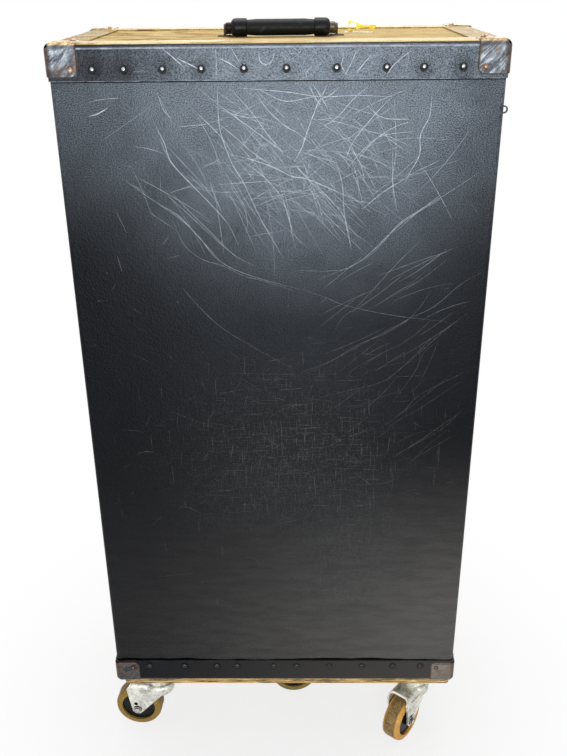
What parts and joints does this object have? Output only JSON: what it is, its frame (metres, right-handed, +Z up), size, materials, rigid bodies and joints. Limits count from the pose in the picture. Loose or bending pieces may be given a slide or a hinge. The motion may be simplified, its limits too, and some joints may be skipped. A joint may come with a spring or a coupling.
{
  "type": "wardrobe trunk",
  "caption": "Tall black wardrobe trunk with riveted edge strips and steel corners, opening like a book, standing on a plywood dolly board with swivel casters.",
  "frame": {"origin": "on the floor below the middle of the dolly board", "axes": "+X along the broad side towards the latches, +Y from the front half to the rear half, +Z up"},
  "size_m": [0.5899, 0.3761, 1.1564],
  "materials": {
    "covering_vinyl": "black leather-grained vinyl, scuffed, half gloss",
    "shell_plywood": "bare plywood",
    "lining_cloth": "printed lining cloth, matt",
    "binding_strip": "black fibre strip, half gloss",
    "cap_steel": "dull steel with rust stains",
    "rivet_steel": "black with bright worn crowns",
    "valance_steel": "dull plated steel",
    "hardware_brass": "aged brass plate",
    "handle_grip": "black leather, worn",
    "handle_steel": "brown-grey worn steel",
    "key_brass": "worn brass",
    "loop_wire": "black wire",
    "drawer_board": "cloth-covered fibre board",
    "pull_leather": "brown leather",
    "trolley_steel": "nickel-plated steel",
    "hanger_wood": "varnished beech",
    "dolly_plywood": "plywood with a worn edge",
    "zinc_plate": "zinc-plated steel",
    "hub_black": "black moulded plastic",
    "tread_amber": "amber polyurethane, scuffed"
  },
  "bodies": {
    "trunk": {"dolly_board": "dolly_plywood", "rear_shell": "shell_plywood", "rear_covering": "covering_vinyl", "rear_lining": "lining_cloth", "rear_bindings": "binding_strip", "rear_caps": "cap_steel", "rear_rivets": "rivet_steel", "seam_valance": "valance_steel", "rear_hinge_leaves": "hardware_brass", "hinge_pins": "hardware_brass", "latch_keepers": "hardware_brass", "drawer_carcass": "drawer_board", "key_flat": "key_brass", "key_leaning": "key_brass", "caster_plates": "zinc_plate"},
    "front_half": {"front_shell": "shell_plywood", "front_covering": "covering_vinyl", "front_lining": "lining_cloth", "front_bindings": "binding_strip", "front_caps": "cap_steel", "front_rivets": "rivet_steel", "front_hinge_leaves": "hardware_brass", "handle_plates": "handle_steel", "latch_bases": "hardware_brass", "wire_loop": "loop_wire", "trolley_rails": "trolley_steel"},
    "carry_handle": {"handle_grip": "handle_grip", "handle_ends": "handle_steel"},
    "upper_latch": {"latch_upper": "hardware_brass"},
    "lower_latch": {"latch_lower": "hardware_brass"},
    "lock": {"lock_hasp": "hardware_brass"},
    "trolley": {"hanger_trolley": "trolley_steel", "hanger_bars": "hanger_wood", "hanger_hooks": "trolley_steel"},
    "drawer_1_tray": {"drawer_1": "drawer_board", "drawer_pull_1": "pull_leather"},
    "drawer_2_tray": {"drawer_2": "drawer_board", "drawer_pull_2": "pull_leather"},
    "drawer_3_tray": {"drawer_3": "drawer_board", "drawer_pull_3": "pull_leather"},
    "drawer_4_tray": {"drawer_4": "drawer_board", "drawer_pull_4": "pull_leather"},
    "caster_front_left": {"fork_front_left": "zinc_plate"},
    "wheel_front_left": {"hub_front_left": "hub_black", "tread_front_left": "tread_amber"},
    "caster_front_right": {"fork_front_right": "zinc_plate"},
    "wheel_front_right": {"hub_front_right": "hub_black", "tread_front_right": "tread_amber"},
    "caster_rear_left": {"fork_rear_left": "zinc_plate"},
    "wheel_rear_left": {"hub_rear_left": "hub_black", "tread_rear_left": "tread_amber"},
    "caster_rear_right": {"fork_rear_right": "zinc_plate"},
    "wheel_rear_right": {"hub_rear_right": "hub_black", "tread_rear_right": "tread_amber"},
    "caster_middle": {"fork_middle": "zinc_plate"},
    "wheel_middle": {"hub_middle": "hub_black", "tread_middle": "tread_amber"}
  },
  "joints": [
    {"name": "case_hinge", "type": "hinge", "parent": "trunk", "child": "front_half", "pos_m": [-0.2858, 0, 0.6], "axis": [0, 0, 1], "range_deg": [-170, 0]},
    {"name": "handle_pivot", "type": "hinge", "parent": "front_half", "child": "carry_handle", "pos_m": [0.003, -0.02, 1.1419], "axis": [1, 0, 0], "range_deg": [-100, 0]},
    {"name": "upper_latch_pivot", "type": "hinge", "parent": "front_half", "child": "upper_latch", "pos_m": [0.2863, -0.034, 0.9], "axis": [0, 0, 1], "range_deg": [-150, 0]},
    {"name": "lower_latch_pivot", "type": "hinge", "parent": "front_half", "child": "lower_latch", "pos_m": [0.2863, -0.034, 0.33], "axis": [0, 0, 1], "range_deg": [-150, 0]},
    {"name": "lock_pivot", "type": "hinge", "parent": "front_half", "child": "lock", "pos_m": [0.2863, -0.034, 0.62], "axis": [0, 0, 1], "range_deg": [-150, 0]},
    {"name": "trolley_slide", "type": "slide", "parent": "front_half", "child": "trolley", "axis": [0, 1, 0], "range_m": [0, 0.09]},
    {"name": "drawer_1_slide", "type": "slide", "parent": "trunk", "child": "drawer_1_tray", "axis": [0, -1, 0], "range_m": [0, 0.1]},
    {"name": "drawer_2_slide", "type": "slide", "parent": "trunk", "child": "drawer_2_tray", "axis": [0, -1, 0], "range_m": [0, 0.1]},
    {"name": "drawer_3_slide", "type": "slide", "parent": "trunk", "child": "drawer_3_tray", "axis": [0, -1, 0], "range_m": [0, 0.1]},
    {"name": "drawer_4_slide", "type": "slide", "parent": "trunk", "child": "drawer_4_tray", "axis": [0, -1, 0], "range_m": [0, 0.1]},
    {"name": "swivel_front_left", "type": "hinge", "parent": "trunk", "child": "caster_front_left", "pos_m": [-0.2185, -0.116, 0.098], "axis": [0, 0, 1], "continuous": true},
    {"name": "roll_front_left", "type": "hinge", "parent": "caster_front_left", "child": "wheel_front_left", "pos_m": [-0.25635, -0.11269, 0.04], "axis": [-0.0872, -0.9962, 0], "continuous": true},
    {"name": "swivel_front_right", "type": "hinge", "parent": "trunk", "child": "caster_front_right", "pos_m": [0.2245, -0.116, 0.098], "axis": [0, 0, 1], "continuous": true},
    {"name": "roll_front_right", "type": "hinge", "parent": "caster_front_right", "child": "wheel_front_right", "pos_m": [0.20111, -0.14594, 0.04], "axis": [0.788, -0.6157, 0], "continuous": true},
    {"name": "swivel_rear_left", "type": "hinge", "parent": "trunk", "child": "caster_rear_left", "pos_m": [-0.2185, 0.116, 0.098], "axis": [0, 0, 1], "continuous": true},
    {"name": "roll_rear_left", "type": "hinge", "parent": "caster_rear_left", "child": "wheel_rear_left", "pos_m": [-0.23335, 0.15098, 0.04], "axis": [-0.9205, -0.3907, 0], "continuous": true},
    {"name": "swivel_rear_right", "type": "hinge", "parent": "trunk", "child": "caster_rear_right", "pos_m": [0.2245, 0.116, 0.098], "axis": [0, 0, 1], "continuous": true},
    {"name": "roll_rear_right", "type": "hinge", "parent": "caster_rear_right", "child": "wheel_rear_right", "pos_m": [0.24234, 0.14955, 0.04], "axis": [-0.8829, 0.4695, 0], "continuous": true},
    {"name": "swivel_middle", "type": "hinge", "parent": "trunk", "child": "caster_middle", "pos_m": [-0.022, -0.038, 0.098], "axis": [0, 0, 1], "continuous": true},
    {"name": "roll_middle", "type": "hinge", "parent": "caster_middle", "child": "wheel_middle", "pos_m": [0.01591, -0.03535, 0.04], "axis": [-0.0698, 0.9976, 0], "continuous": true}
  ]
}
